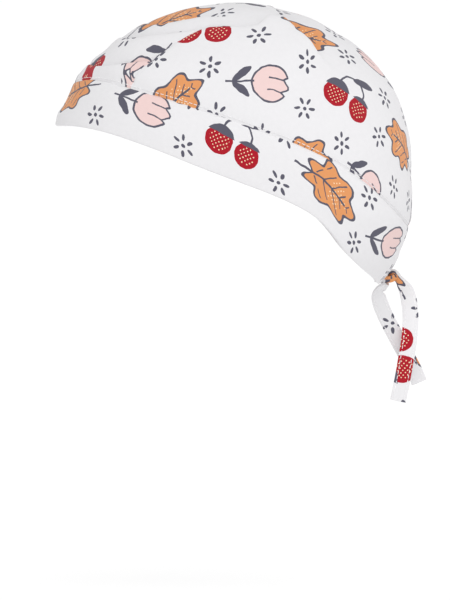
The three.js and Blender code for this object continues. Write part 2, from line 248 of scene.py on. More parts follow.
# Flat pattern of the crown's cloth: the latitude at which the cone touches the dome, the azimuth at which its
# print stands upright, and a mean radius. The top's pattern is eased a little along the head. A unit of the
# UV map is UV_UNIT millimetres of cloth.
CONE_LATITUDE = 50
UPRIGHT_AZIMUTH = 100
MEAN_RADIUS = 98
RING_SAMPLES = 721
ARC_STEPS = 24
TOP_END = 150
TOP_SAMPLES = 301
TOP_SIDE_LIMIT = 0.9 * HALF_BREADTH
TOP_EASE = 0.93
UV_UNIT = 100
# Print: half width of a stem or rib, spread of the motifs' tilt in radians, the flecks' pattern, how far the
# print wanders on the cloth, and the share of it that shows on the wrong side.
STEM_HALF = 0.58
TILT_RANGE = 0.7
FLECK_TURN = 2.3
FLECK_EDGE = 0.66
WANDER = (1.8, 1.8, 0)
WRONG_SIDE_SHARE = 0.2
WEAVE_HEIGHT = 0.05

# The view, in metres: height of the picture at the middle plane, and the point at its centre.
PICTURE_HEIGHT = 0.339
PICTURE_CENTRE = (0.0, -0.0062, -0.0689)
CAMERA_HEIGHT = 0.02
SENSOR = 36
CLIP_END = 200
FLOOR_HALF = 60
# The main light's direction and spread, and the strength of the even light overhead.
KEY_FROM = (1.5, 0.45, 2.0)
KEY_SPREAD = 40
ZENITH_STRENGTH = 0.34


def linear(hex_colour):
    """Linear red, green and blue of an sRGB hex colour."""
    parts = [int(hex_colour[place:place + 2], 16) / 255 for place in (1, 3, 5)]
    return tuple(part / 12.92 if part <= 0.04045 else ((part + 0.055) / 1.055) ** 2.4 for part in parts)


def ramp(value, low, high):
    """0 up to low, 1 from high on, and a smooth rise between."""
    share = np.clip((value - low) / (high - low), 0, 1)
    return share * share * (3 - 2 * share)


def blend(first, second, share):
    """Between first (share 0) and second (share 1)."""
    return first + (second - first) * share


def unit(rows):
    """Vectors of length 1."""
    return rows / np.linalg.norm(rows, axis=-1, keepdims=True)


def columns(*parts):
    """Parts side by side along a last axis."""
    return np.stack(np.broadcast_arrays(*parts), axis=-1)


def lengths_along(rows):
    """Lengths of lines of points up to each point, along the first axis."""
    steps = np.linalg.norm(np.diff(rows, axis=0), axis=-1)
    return np.concatenate((0 * steps[:1], np.cumsum(steps, axis=0)))


def read_between(at, places, rows):
    """Rows of values that stand at places, read between them."""
    return columns(*(np.interp(at, places, column) for column in np.transpose(rows)))


def hermite(start, end, leave, arrive, share):
    """Cubic between two values with the given slopes over the span."""
    double, triple = share * share, share * share * share
    return (
        (2 * triple - 3 * double + 1) * start + (triple - 2 * double + share) * leave
        + (3 * double - 2 * triple) * end + (triple - double) * arrive
    )


def table_curve(rows):
    """A smooth curve through rows of place and value, level beyond its ends."""
    places, values = np.array(rows, float).T
    steps = np.diff(values) / np.diff(places)
    slopes = np.empty_like(values)
    slopes[1:-1] = (values[2:] - values[:-2]) / (places[2:] - places[:-2])
    slopes[0] = (3 * steps[0] - slopes[1]) / 2
    slopes[-1] = (3 * steps[-1] - slopes[-2]) / 2

    def value_at(place):
        held = np.clip(place, places[0], places[-1])
        row = np.clip(np.searchsorted(places, held) - 1, 0, len(places) - 2)
        span = places[row + 1] - places[row]
        leave, arrive = slopes[row] * span, slopes[row + 1] * span
        return hermite(values[row], values[row + 1], leave, arrive, (held - places[row]) / span)

    return value_at


def curve_through(places, at):
    """Points of a smooth curve through places, at row numbers that may lie between rows."""
    places = np.asarray(places, float)
    padded = np.vstack((2 * places[0] - places[1], places, 2 * places[-1] - places[-2]))
    row = np.clip(np.floor(at).astype(int), 0, len(places) - 2)
    before, start, end, after = (padded[row + step] for step in range(4))
    first, middle, last = (
        np.linalg.norm(b - a, axis=-1, keepdims=True) ** 0.5
        for a, b in ((before, start), (start, end), (end, after))
    )
    leave = ((start - before) / first - (end - before) / (first + middle)) * middle + end - start
    arrive = ((after - end) / last - (after - start) / (middle + last)) * middle + end - start
    return hermite(start, end, leave, arrive, (at - row)[:, None])


def soft_noise(points, name):
    """Smooth noise between about -1 and 1, of a named size, at points in millimetres."""
    size, seed, stretch = NOISES[name]
    shift = Vector(SEED_STEP) * seed
    rows = (points * stretch).reshape(-1, 3)
    return np.array([noise.noise(Vector(row) / size + shift) for row in rows]).reshape(points.shape[:-1])


side_reach = table_curve(SIDE_OUTLINE)
rim_height = table_curve(RIM)
seam_height = table_curve(SEAM)
lip_across = table_curve(LIP_ACROSS)
lip_rise = table_curve(LIP_RISE)
crown_lift = table_curve(CROWN_LIFT)
roll_height = table_curve(ROLLS)


def turn_of(points):
    """Turn of points over the head, from the brow."""
    return np.degrees(np.arctan2(points[..., 2], -points[..., 1]))


def direction_of(azimuth, elevation):
    """Unit directions from the origin: azimuth 0 is the brow, 90 the wearer's left and 180 the nape."""
    azimuth, elevation = np.radians(azimuth), np.radians(elevation)
    level = np.cos(elevation)
    return columns(level * np.sin(azimuth), -level * np.cos(azimuth), np.sin(elevation))


def dome_reach(way):
    """Distance from the origin to the smooth dome, in unit directions."""
    x, y, z = np.moveaxis(way, -1, 0)
    turn = turn_of(way)
    turn = np.where(turn < LOWEST_TURN, turn + 360, turn)
    across = (np.abs(x) / (HALF_BREADTH * (1 + BACK_WIDENING * y))) ** ARCH_POWER
    along = (np.hypot(y, z) / side_reach(turn)) ** ARCH_POWER
    return (across + along) ** (-1 / ARCH_POWER)


def dome_point(way):
    """Points of the dome in unit directions."""
    return way * dome_reach(way)[..., None]


def dome_place(turn, side):
    """Points of the dome at a turn over the head and a distance from the middle plane."""
    ahead, up = -np.cos(np.radians(turn)), np.sin(np.radians(turn))
    breadth = HALF_BREADTH * (1 + BACK_WIDENING * ahead)
    reach = side_reach(turn) * (1 - (np.abs(side) / breadth) ** ARCH_POWER) ** (1 / ARCH_POWER)
    return columns(side, ahead * reach, up * reach)


def dome_height(points):
    """Height of points above the dome, along the line from the origin."""
    return np.linalg.norm(points, axis=-1) - dome_reach(unit(points))


def dome_normal(points, step=0.5):
    """Outward normals of the dome near points."""
    steps = np.eye(3) * step
    return unit(columns(*(dome_height(points + offset) - dome_height(points - offset) for offset in steps)))


def edge_elevation(azimuth, edge_height):
    """Elevations at which the dome meets an edge of the band."""
    lowest, highest, rounds = EDGE_SEARCH
    below, above = np.full(np.shape(azimuth), lowest), np.full(np.shape(azimuth), highest)
    for _ in range(rounds):
        middle = (below + above) / 2
        point = dome_point(direction_of(azimuth, middle))
        low = point[..., 2] < edge_height(point[..., 1])
        below, above = np.where(low, middle, below), np.where(low, above, middle)
    return (below + above) / 2


def fold_line(fold):
    """A fold's samples on the dome: points, ways along it and to its raised side, and length up to each."""
    at = np.linspace(0, len(fold.places) - 1, FOLD_SAMPLES)
    points = dome_point(unit(curve_through(dome_place(*np.array(fold.places, float).T), at)))
    along = unit(np.gradient(points, axis=0))
    raised = unit(np.cross(along, dome_normal(points)))
    return points, along, raised, lengths_along(points)


FOLD_LINES = {fold.name: fold_line(fold) for fold in FOLDS}


def from_fold(points, name):
    """Distance to a fold's raised side, place along it, distance past its ends, way to that side, and gap."""
    line, along, raised, length = FOLD_LINES[name]
    half = np.column_stack((np.abs(points[:, 0]), points[:, 1:]))
    nearest = np.empty(len(half), int)
    for start in range(0, len(half), POINTS_AT_ONCE):
        part = slice(start, start + POINTS_AT_ONCE)
        gap = half[part, None] - line[None]
        nearest[part] = np.einsum("ijk,ijk->ij", gap, gap).argmin(axis=1)
    offset = half - line[nearest]
    across = np.einsum("ij,ij->i", offset, raised[nearest])
    place = length[nearest] + np.einsum("ij,ij->i", offset, along[nearest])
    # A fold that starts on the middle plane goes on there in its mirror image.
    ends_before = line[0, 0] > 0
    past = np.maximum(place - length[-1], 0) + np.maximum(-place, 0) * ends_before
    way = raised[nearest] * np.where(points[:, :1] < 0, (-1, 1, 1), (1, 1, 1))
    return across, place, past, way, np.linalg.norm(offset, axis=1)


def fold_moves(points, climb, depth_scale):
    """How the folds move cloth at points of the dome: its shift along it, lift, and the print's shift."""
    across_temple = from_fold(points, "temple")[0]
    across_back = from_fold(points, "back")[0]
    within = ramp(-across_temple, *FRONT_START) * ramp(across_back, *FRONT_START)
    moved, lift, print_shift = np.zeros_like(points), np.zeros(len(points)), np.zeros_like(points)
    pressed = ramp(climb, *PRESSED_CLIMB)
    for fold in FOLDS:
        across, place, past, way, _ = from_fold(points, fold.name)
        length = FOLD_LINES[fold.name][3][-1]
        strength = np.exp(-((past / PAST_END_REACH) ** 2)) * pressed
        if fold.fade:
            strength = strength * (1 - ramp(place, length - fold.fade, length))
        if fold.name in FRONT_FOLDS:
            strength = strength * within
        if fold.name == "temple":
            strength = strength * ramp(across_back, *TEMPLE_END)
        else:
            strength = strength * blend(MIDDLE_SHARE, 1, ramp(np.abs(points[:, 0]), 0, MIDDLE_REACH))
        sink = np.exp(-np.maximum(0, across - LIP_END) / fold.spread)
        sink = sink * np.exp(-np.maximum(0, VALLEY_END - across) / VALLEY_SPREAD)
        turned = fold.lip * lip_across(across) * strength
        moved += way * turned[:, None]
        rise = lip_rise(across)
        rise = np.where(rise < 0, fold.valley * rise, rise)
        lift += depth_scale * fold.depth * rise * sink * strength
        side = 2 * ramp(across, *HIDDEN) - 1
        taken = fold.taken_in / 2 * side * np.exp(-np.abs(across) / PRINT_SHIFT_REACH) * strength
        print_shift += way * (turned + taken)[:, None]
    return moved, lift, print_shift


def roll_lift(points):
    """Lift of the cloth's rolls along the middle of the head, at points of the dome."""
    return roll_height(turn_of(points)) * np.exp(-((points[..., 0] / ROLL_REACH) ** 2))


def crown_surface(points, climb, settings):
    """The crown's outer cloth over points of the dome at a climb from the seam, and where its print lies."""
    moved, lift, print_shift = fold_moves(points, climb, settings.fold_depth)
    near_seam = np.exp(-np.maximum(climb, 0) / CROWN_PUCKER_REACH) * ramp(climb, *CROWN_PUCKER_START)
    puckers = soft_noise(points, "crown_puckers") * near_seam
    drape = DRAPE_SHARE * soft_noise(points, "crown_drape")
    drape = drape + CREASE_SHARE * soft_noise(points, "crown_creases")
    lift = lift + crown_lift(climb) + settings.pucker_depth / MM * puckers
    lift = lift + settings.wrinkle_depth / MM * drape * ramp(climb, *DRAPE_START)
    lift = lift + roll_lift(points)
    return points + moved + dome_normal(points) * lift[:, None], points + print_shift


def side_pattern(points):
    """Flat places of the crown's side and back cloth, cut as part of a cone."""
    way = unit(points)
    elevation = np.degrees(np.arcsin(np.clip(way[:, 2], -1, 1)))
    azimuth = np.degrees(np.arctan2(way[:, 0], -way[:, 1])) % 360
    ring = np.linspace(0, 360, RING_SAMPLES)
    ring_arc = lengths_along(dome_point(direction_of(ring, CONE_LATITUDE)))
    from_upright = np.interp(azimuth, ring, ring_arc) - np.interp(UPRIGHT_AZIMUTH, ring, ring_arc)
    latitude = math.radians(CONE_LATITUDE)
    turn = from_upright / (MEAN_RADIUS * math.cos(latitude)) * math.sin(latitude)
    climb = blend(CONE_LATITUDE, elevation, np.linspace(0, 1, ARC_STEPS)[:, None])
    meridian = lengths_along(dome_point(direction_of(azimuth, climb)))[-1]
    radius = MEAN_RADIUS / math.tan(latitude) - meridian * np.sign(elevation - CONE_LATITUDE)
    return columns(radius * np.sin(turn), -radius * np.cos(turn))


def top_pattern(points):
    """Flat places of the crown's front and top cloth, unrolled along the middle of the head."""
    turn = turn_of(points)
    table = np.linspace(0, TOP_END, TOP_SAMPLES)
    outline_arc = lengths_along(dome_place(table, 0))
    limit = np.clip(points[:, 0], -TOP_SIDE_LIMIT, TOP_SIDE_LIMIT)
    spans = lengths_along(dome_place(turn, limit * np.linspace(0, 1, ARC_STEPS)[:, None]))[-1]
    return columns(TOP_EASE * np.interp(turn, table, outline_arc), -spans * np.sign(limit))


def ring_numbers(rings, sides):
    """Numbers of the points of a closed net, ring by ring, with each ring's first point again at its end."""
    number = np.arange(rings * sides).reshape(rings, sides)
    return np.hstack((number, number[:, :1]))


def cell_corners(grid):
    """The four corners of each cell of a grid, in order round it."""
    return np.stack((grid[:-1, :-1], grid[:-1, 1:], grid[1:, 1:], grid[1:, :-1]), axis=2)


def tube_faces(grid):
    """Corners of the faces of a tube whose grid closes on itself: its cells and its two ends."""
    cells = cell_corners(grid)
    return [*cells.reshape(-1, *cells.shape[2:]), grid[0, -2::-1], grid[-1, :-1]]


def crown_net():
    """The crown's net on the dome, finer along the folds: its mesh and each corner's climb from the seam."""
    around = np.arange(CROWN_COLUMNS) * (2 * math.pi / CROWN_COLUMNS)
    azimuth = np.degrees(around - BROW_CROWDING * np.sin(around))
    foot_elevation = edge_elevation(azimuth, seam_height)
    foot = direction_of(azimuth, foot_elevation)
    top = unit(dome_place(CROWN_TOP_TURN, 0))
    angle = np.arccos(np.clip(foot @ top, -1, 1))
    reach = dome_reach(foot)
    ways, climbs = [], []
    for below in np.arange(ALLOWANCE_ROWS, 0, -1) * ALLOWANCE_STEP:
        ways.append(direction_of(azimuth, foot_elevation - np.degrees(below / reach)))
        climbs.append(0 * reach - below)
    for row in range(CROWN_ROWS):
        rise = (row / CROWN_ROWS) ** SEAM_CROWDING
        share = np.stack((np.sin((1 - rise) * angle), np.sin(rise * angle))) / np.sin(angle)
        ways.append(share[0][:, None] * foot + share[1][:, None] * top)
        climbs.append(rise * angle * reach)
    points = dome_point(np.vstack((*ways, top)))
    net = bmesh.new()
    climb_layer = net.verts.layers.float.new("climb")
    corners = [net.verts.new(point) for point in points]
    for corner, height in zip(corners, np.append(climbs, (angle * reach).mean())):
        corner[climb_layer] = height
    number = ring_numbers(len(ways), CROWN_COLUMNS)
    faces = cell_corners(number).reshape(-1, 4).tolist()
    faces.extend((last, after, len(points) - 1) for last, after in zip(number[-1], number[-1][1:]))
    for face in faces:
        net.faces.new([corners[place] for place in face])
    for reach_out in FINE_REACHES:
        refine_along_folds(net, reach_out)
    return net, climb_layer


def refine_along_folds(net, reach_out):
    """Halves the net's edges within a distance of a fold line."""
    net.verts.index_update()
    points = np.array([corner.co for corner in net.verts])
    close = np.zeros(len(points), bool)
    for fold in FOLDS:
        across, _, past, _, gap = from_fold(points, fold.name)
        close |= (np.abs(across) < reach_out) & (gap < reach_out + FINE_MARGIN) & (past < FINE_PAST_END)
    edges = [edge for edge in net.edges if close[edge.verts[0].index] and close[edge.verts[1].index]]
    bmesh.ops.subdivide_edges(net, edges=edges, cuts=1, use_grid_fill=True)


def make_piece(name, points, faces, materials, places=None):
    """A shown piece, smooth and riding on the cap's body, from points in millimetres and its faces.

    places are the flat places of the face corners, kept as a UV map in units of the print.
    """
    mesh = bpy.data.meshes.new(name)
    mesh.from_pydata(points.reshape(-1, 3) * MM, [], faces)
    if places is not None:
        layer = mesh.uv_layers.new(name=FLAT_MAP)
        layer.uv.foreach_set("vector", (places / UV_UNIT).astype(np.float32).ravel())
    for material in materials:
        mesh.materials.append(material)
    mesh.polygons.foreach_set("use_smooth", np.ones(len(mesh.polygons), bool))
    piece = bpy.data.objects.new(name, mesh)
    bpy.context.scene.collection.objects.link(piece)
    bpy.ops.object.select_all(action="DESELECT")
    piece.select_set(True)
    bpy.context.view_layer.objects.active = piece
    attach(piece, BODY)
    return piece


def give_thickness(piece, ply, inner_material):
    """Thickens a sheet inwards by one ply. Its inner face takes the next material where asked."""
    wall = piece.modifiers.new("ply", "SOLIDIFY")
    wall.thickness = ply
    wall.offset = -1
    wall.material_offset = inner_material
    bpy.ops.object.modifier_apply(modifier=wall.name)


def make_crown(settings, materials):
    """The crown's cloth, with turned folds, a puff and puckers at the seam, and soft wrinkles."""
    net, climb_layer = crown_net()
    points = np.array([corner.co for corner in net.verts])
    climb = np.array([corner[climb_layer] for corner in net.verts])
    outer, printed = crown_surface(points, climb, settings)
    net.verts.index_update()
    faces = [[corner.index for corner in face.verts] for face in net.faces]
    net.free()
    centres = np.array([points[face].mean(axis=0) for face in faces])
    before_temple = from_fold(centres, "temple")[0] < -TOP_CLOTH_MARGIN
    on_top = before_temple & (from_fold(centres, "back")[0] > -TOP_CLOTH_MARGIN)
    flat_side, flat_top = side_pattern(printed), top_pattern(printed)
    places = np.concatenate([(flat_top if top else flat_side)[face] for face, top in zip(faces, on_top)])
    piece = make_piece("crown_cloth", outer, faces, materials, places)
    give_thickness(piece, settings.ply, 1)
    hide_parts("crown")
    return piece


def band_edges():
    """Shares of the rise, azimuths and elevations of the band's net, from rim to seam and end to end."""
    rise = np.linspace(0, 1, BAND_PLY_ROWS + 1)
    nape = blend(edge_elevation(180.0, rim_height), edge_elevation(180.0, seam_height), rise)
    reach = dome_reach(direction_of(180, nape)) * np.cos(np.radians(nape))
    slit = np.degrees(blend(SLIT_BOTTOM, SLIT_TOP, ramp(rise, SLIT_EVEN_SHARE, 1)) / reach)
    share = np.linspace(0, 1, BAND_COLUMNS + 1)
    azimuth = blend((slit - 180)[:, None], (180 - slit)[:, None], share)
    rim, seam = edge_elevation(azimuth, rim_height), edge_elevation(azimuth, seam_height)
    return rise, azimuth, blend(rim, seam - BELOW_SEAM, rise[:, None])


def band_lift(settings, base, rise, height, length):
    """Lift of the band's outer ply above the dome, at a height above the rim and a length from the brow."""
    to_end = length[-1] - np.abs(length)
    from_seam = height[-1] - height
    waves = soft_noise(base, "band_waves")
    puckers = soft_noise(base, "band_puckers") * np.exp(-from_seam / BAND_PUCKER_REACH)
    pulls = soft_noise(columns(height, to_end, 0.0), "band_pulls") * np.exp(-to_end / PULL_REACH)
    roll = blend(BAND_BROW_ROLL, BAND_ROLL, ramp(np.abs(length), *BAND_BROW_REACH))
    lift = BAND_PROUD + roll * np.sin(math.pi * rise)[:, None] + roll_lift(base)
    lift = lift + settings.wrinkle_depth / MM * waves * BAND_WAVE_SHARE
    lift = lift + settings.pucker_depth / MM * (puckers + PULL_SHARE * pulls)
    return lift - SEAM_DIP * np.exp(-from_seam / SEAM_DIP_REACH)


def make_band(settings, materials):
    """The band: one strip folded double along the rim, its plies pressed together at the slit."""
    rise, azimuth, elevation = band_edges()
    base = dome_point(direction_of(azimuth, elevation))
    normal = dome_normal(base)
    height = lengths_along(base)
    length = lengths_along(base[BAND_PLY_ROWS // 2])
    length = length - length[-1] / 2
    lift = band_lift(settings, base, rise, height, length)
    wall = blend(BAND_PRESSED_WALL, BAND_WALL, ramp(length[-1] - np.abs(length), 0, BAND_PRESSED_REACH))
    outer_ply = base + normal * lift[..., None]
    inner_ply = base + normal * (lift - wall)[..., None]
    down = unit(outer_ply[0] - outer_ply[1])
    hub = (outer_ply[0] + inner_ply[0]) / 2
    radius = (wall / 2)[:, None]
    bend = np.linspace(0, math.pi, BAND_FOLD_ROWS + 2)[1:-1, None, None]
    fold = hub - normal[0] * radius * np.cos(bend) + down * radius * np.sin(bend)
    raised = -down * radius
    above_rim = (1 - rise)[:, None, None]
    sheet = np.concatenate((
        inner_ply[::-1] + raised * above_rim[::-1], fold + raised, outer_ply + raised * above_rim,
    ))
    half_turn = math.pi * BAND_WALL / 2
    fold_up = np.linspace(-half_turn, 0, BAND_FOLD_ROWS + 2)[1:-1, None]
    up = np.concatenate((-height[::-1] - half_turn, fold_up + 0 * length, height))
    faces = cell_corners(ring_numbers(*up.shape)[:, :-1]).reshape(-1, 4).tolist()
    piece = make_piece("band_cloth", sheet, faces, materials, cell_corners(columns(length, up)))
    give_thickness(piece, settings.ply, 0)
    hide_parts("band")
    return piece


def tie_frames(route):
    """Along a tie: centres, ways along, across and out of its flat, half widths and half thicknesses."""
    full = (row if len(row) > 3 else row + HANGING for row in route)
    stations = np.array([row[:5] + row[5] for row in full])
    at = np.linspace(0, len(stations) - 1, TIE_STEPS + 1)
    centres = curve_through(stations[:, :3], at)
    along = unit(np.gradient(centres, axis=0))
    sizes = read_between(at, np.arange(len(stations)), stations[:, 3:])
    across = unit(np.cross(sizes[:, 2:], along))
    return centres, along, across, np.cross(along, across), sizes[:, 0] / 2, sizes[:, 1] / 2


def squared(wave):
    """A round wave pressed towards a square one."""
    return np.sign(wave) * np.abs(wave) ** TIE_SQUARENESS


def make_tie(name, route, side, cotton):
    """A folded strip along its route: flat with squared edges where it hangs, crumpled where it is hooked."""
    centres, along, across, outwards, width, thick = tie_frames(route)
    around = np.linspace(0, 2 * math.pi, TIE_SIDES, endpoint=False)
    wide, deep = squared(np.cos(around)), squared(np.sin(around))
    flatness = ramp(width / thick, *FLAT_RATIO)[:, None]
    length = lengths_along(centres)
    wave = np.cos(CRUMPLE_LOBES * around + CRUMPLE_TWIST * length[:, None])
    crumple = 1 + (1 - flatness) * CRUMPLE_DEPTH * wave
    groove = np.exp(-(((np.abs(wide) - GROOVE_PLACE) / GROOVE_WIDTH) ** 2))
    stitched = 1 - GROOVE_DEPTH * flatness * groove
    section = across[:, None] * (width[:, None] * crumple * wide)[..., None]
    section = section + outwards[:, None] * (thick[:, None] * crumple * stitched * deep)[..., None]
    rings = centres[:, None] + section
    tip = rings[-1] + along[-1] * TIP_STEPS[0]
    tip_inner = centres[-1] + section[-1] * TIP_SHARE + along[-1] * TIP_STEPS[1]
    root_inner = centres[0] + section[0] * TIP_SHARE
    rings = np.concatenate((root_inner[None], rings, tip[None], tip_inner[None]))
    lengths = np.concatenate((length[:1], length, length[-1] + np.array(TIP_STEPS)))
    perimeter = lengths_along(wide[:, None]) * TIE_WIDTH / 2
    round_strip = np.append(perimeter, perimeter[-1])
    flat = side * columns(BAND_HALF_LENGTH + lengths[:, None], -round_strip) + (0, TIE_PRINT_UP)
    faces = tube_faces(ring_numbers(*rings.shape[:2]))
    piece = make_piece(name + "_strip", rings, faces, [cotton], np.concatenate(tube_faces(flat)))
    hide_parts(name)
    return piece


def stitch_row(places, outwards, settings):
    """Middles, ways along and out, for stitches set at their length and gap along a line of places."""
    length = lengths_along(places)
    pitch = (settings.stitch_length + settings.stitch_gap) / MM
    at = np.arange(pitch, length[-1] - pitch / 2, pitch)
    along = np.gradient(places, axis=0)
    middles, along, out = (read_between(at, length, rows) for rows in (places, along, outwards))
    return middles, unit(along), unit(out)


def make_stitches(name, stitch_rows, settings, thread):
    """One piece of thread stitches, each a short rounded bead half sunk into the cloth."""
    half, radius = settings.stitch_length / MM / 2, settings.thread / MM / 2
    middles, along, out = (np.concatenate(parts)[:, None] for parts in zip(*stitch_rows))
    place, girth = np.array(STITCH_PROFILE).T[..., None]
    spin = np.linspace(0, 2 * math.pi, STITCH_SIDES, endpoint=False)[:, None]
    spoke = np.cross(out, along) * np.cos(spin) + out * np.sin(spin)
    centres = middles + along * half * place + out * radius * STITCH_ARCH * (1 - place * place)
    points = centres[:, :, None] + radius * girth[..., None] * spoke[:, None]
    bead = tube_faces(ring_numbers(len(place), STITCH_SIDES))
    starts = range(0, points[..., 0].size, len(place) * STITCH_SIDES)
    return make_piece(name, points, [start + face for start in starts for face in bead], [thread])


def seam_stitch_rows(settings, cloth):
    """The row of stitches on the crown, just above the seam."""
    azimuth = np.linspace(-180, 180, SEAM_SAMPLES)
    elevation = edge_elevation(azimuth, seam_height)
    climb = settings.stitch_inset / MM
    raised = np.degrees(climb / dome_reach(direction_of(azimuth, elevation)))
    base = dome_point(direction_of(azimuth, elevation + raised))
    places, _ = crown_surface(base, np.full(len(base), climb), cloth)
    return [stitch_row(places, dome_normal(base), settings)]


def tie_stitch_rows(route, settings):
    """Rows of stitches along both edges and across the tip of a tie, on both of its faces."""
    frames = tie_frames(route)
    ratio = frames[4] / frames[5]
    flat = np.flatnonzero((ratio > STITCHED_RATIO) & (np.arange(len(ratio)) > TIE_STEPS // 2))
    centres, _, across, outwards, width, thick = (values[flat] for values in frames)
    inset = settings.stitch_inset / MM
    rows = []
    for face in (1, -1):
        surface = centres + outwards * (face * thick * STITCH_SINK)[:, None]
        out = outwards * face
        stop = np.linalg.norm(np.cumsum(np.diff(surface[::-1], axis=0), axis=0), axis=1) > inset
        last = len(flat) - 1 - int(np.argmax(stop))
        for edge in (1, -1):
            line = surface + across * (edge * (width - inset))[:, None]
            rows.append(stitch_row(line[:last + 1], out[:last + 1], settings))
        ends = np.linspace(-1, 1, TIP_SAMPLES)[:, None] * (width[last] - inset)
        tip_out = np.repeat(out[last:last + 1], TIP_SAMPLES, 0)
        rows.append(stitch_row(surface[last] + across[last] * ends, tip_out, settings))
    return rows


def node(tree, kind, links=(), output=0, **settings):
    """Adds a shader node with its settings, sets or links its inputs, and returns one of its outputs."""
    made = tree.nodes.new("ShaderNode" + kind)
    for name, value in settings.items():
        setattr(made, name, value)
    for place, value in (links.items() if isinstance(links, dict) else enumerate(links)):
        value = value.socket if isinstance(value, Field) else value
        if isinstance(value, bpy.types.NodeSocket):
            tree.links.new(value, made.inputs[place])
        else:
            made.inputs[place].default_value = value
    return made.outputs[output] if made.outputs else None


def math_step(operation):
    """A method that adds a Math node with an operation on a field and what it is given."""
    def step(self, *others):
        return Field(node(self.socket.id_data, "Math", [self, *others], operation=operation))

    return step


class Field:
    """A value that varies over the cloth. Masks are 1 inside and 0 outside: & is both and | is either."""

    def __init__(self, socket):
        self.socket = socket

    __add__ = math_step("ADD")
    __sub__ = math_step("SUBTRACT")
    __mul__ = __and__ = math_step("MULTIPLY")
    __truediv__ = math_step("DIVIDE")
    __mod__ = math_step("FLOORED_MODULO")
    __lt__ = math_step("LESS_THAN")
    __gt__ = math_step("GREATER_THAN")
    __or__ = math_step("MAXIMUM")
    __abs__ = math_step("ABSOLUTE")
    is_near = math_step("COMPARE")
    least = math_step("MINIMUM")
    floor = math_step("FLOOR")
    share = math_step("FRACT")
    nearest = math_step("ROUND")
    zigzag = math_step("PINGPONG")
    root = math_step("SQRT")
    sine = math_step("SINE")
    cosine = math_step("COSINE")
    angle_from = math_step("ARCTAN2")


def oval(x, y, long=1, high=1):
    """Square of the distance from the middle of an oval, which is 1 on its edge."""
    wide, tall = (x, y) if long == high == 1 else (x / long, y / high)
    return wide * wide + tall * tall


# The print's motifs are drawn by formulas in millimetres about their middles. Each gives the distance from
# the edge of what is painted, and a mask of what is drawn in line.
def leaf_motif(x, y):
    """A lobed leaf with a rim, a rib and slanting veins."""
    slim, size, lobes, lobe, tip = 0.645, 11, 7, 1.7, 1.5
    rim, vein, vein_pitch, vein_slant = 0.62, 0.072, 6.4, -0.9
    leaf_x = x * slim - 1
    turn = y.angle_from(leaf_x)
    off = oval(leaf_x, y).root() - (turn.cosine() * tip + (turn * lobes).cosine() * lobe + size)
    vein_off = abs(((abs(y) * vein_slant + x) / vein_pitch).share() - 0.5)
    veins = (vein_off < vein) & (off < -2.4)
    rib = (abs(y) < STEM_HALF) & (abs(x + 3.5) < 18.5)
    return off, (abs(off) < rim) | veins | rib


def bud_motif(x, y):
    """A flower bud on its side, with a toothed top, petal lines, a stem and a pair of solid leaves."""
    half_long, half_high, tooth, tooth_depth = 11.5, 9.5, 3.3, -1.45
    rim, petal, petal_half = 0.55, 3.2, 0.4
    head_x, y_either = x - 6, abs(y)
    teeth = ((y + tooth).zigzag(tooth) * tooth_depth + head_x) * 0.6 - 4.6
    off = (oval(head_x, y, half_long, half_high).root() * 10 - 10) | teeth
    petals = (abs(y_either - petal) < petal_half) & (head_x > -1.5) & (off < 0)
    stem = (y_either < STEM_HALF) & (abs(x + 12.5) < 8.5)
    blade_x, blade_y = x + 11.5, y_either - 4.4
    blade = oval(blade_y * 0.6 + blade_x * 0.8, blade_y * 0.8 + blade_x * -0.6, 6.6, 2) < 1
    return off, (abs(off) < rim) | petals | stem | blade


def hip_motif(x, y):
    """A pair of round hips with solid caps, on an arched stem with one leaf."""
    large, small, arch_radius, arch_half, sprig_slope = 8, 7, 8.5, 0.62, -0.25
    off = (oval(x + 8, y + 3.4).root() - large).least(oval(x - 8.8, y + 4.6).root() - small)
    caps = (y > 0.2) & (off < 0.9)
    arch = (abs(oval(x - 0.4, y - 3.6).root() - arch_radius) < arch_half) & (y > 2.5)
    sprig_x = x - 6.5
    sprig = oval(sprig_x, sprig_x * sprig_slope + (y - 13.2), 7, 2.4) < 1
    return off, caps | arch | sprig


def seed_bursts(u, v, across, up):
    """Bursts of six seeds between the motifs, each turned its own way."""
    sixth, pitch, stagger, own_turn = math.pi / 3, across / 2, -15, 1.3
    ring, half_long, half_thick, heart = 4.6, 1.9, 0.95, 1.15
    column, row = (u / pitch).nearest(), (v / up).nearest()
    number = column + row
    x = u - column * pitch
    y = v - (row * up + (number % 2 - 0.5) * stagger)
    far = oval(x, y).root()
    bent = (number * own_turn + y.angle_from(x)) % sixth - sixth / 2
    seeds = oval(far * bent.cosine() - ring, far * bent.sine(), half_long, half_thick) < 1
    return seeds | (far < heart)


